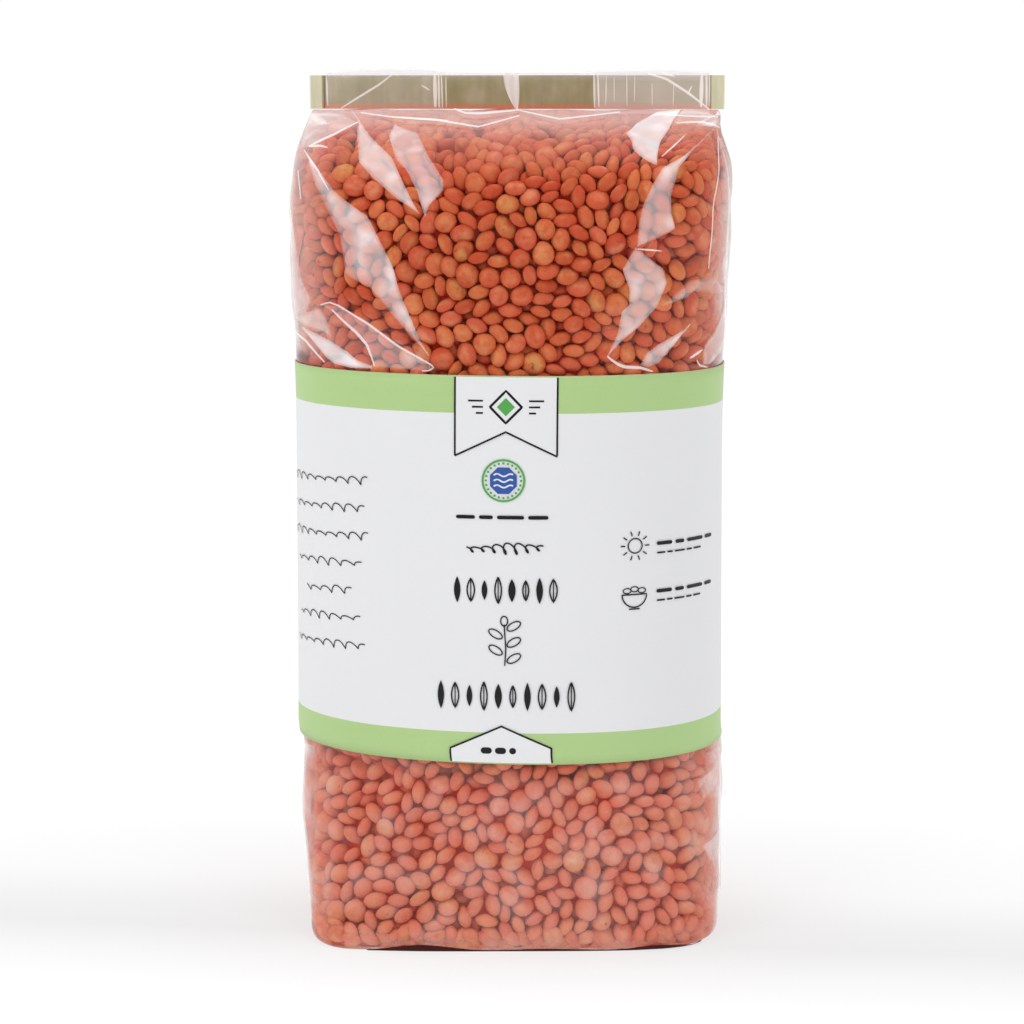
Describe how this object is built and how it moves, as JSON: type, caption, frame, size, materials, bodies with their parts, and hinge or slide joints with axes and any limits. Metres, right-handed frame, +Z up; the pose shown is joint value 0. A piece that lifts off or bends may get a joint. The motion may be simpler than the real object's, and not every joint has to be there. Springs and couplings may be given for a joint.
{
  "type": "bag of red lentils",
  "caption": "Clear film bag filled with red lentils, standing on a flat foot, with a paper label wrapped round it and its top folded over a flat tie.",
  "frame": {"origin": "middle of the flat base, on the surface that the bag stands on", "axes": "+Z up the bag, +X along its width to the right of the front, -Y out of the front with the label's middle"},
  "size_m": [0.105, 0.0815, 0.2029],
  "materials": {
    "lentils": "satin hulled red lentils behind clear glossy film",
    "film": "clear glossy film",
    "label_paper": "smooth coated paper, near white with pale green bands",
    "tie": "dull gold foil"
  },
  "bodies": {
    "root": {"filled_bag": "lentils", "back_seam": "film", "label": "label_paper", "tie_strip": "tie", "header_film": "film", "seam_curl": "film"}
  },
  "joints": []
}
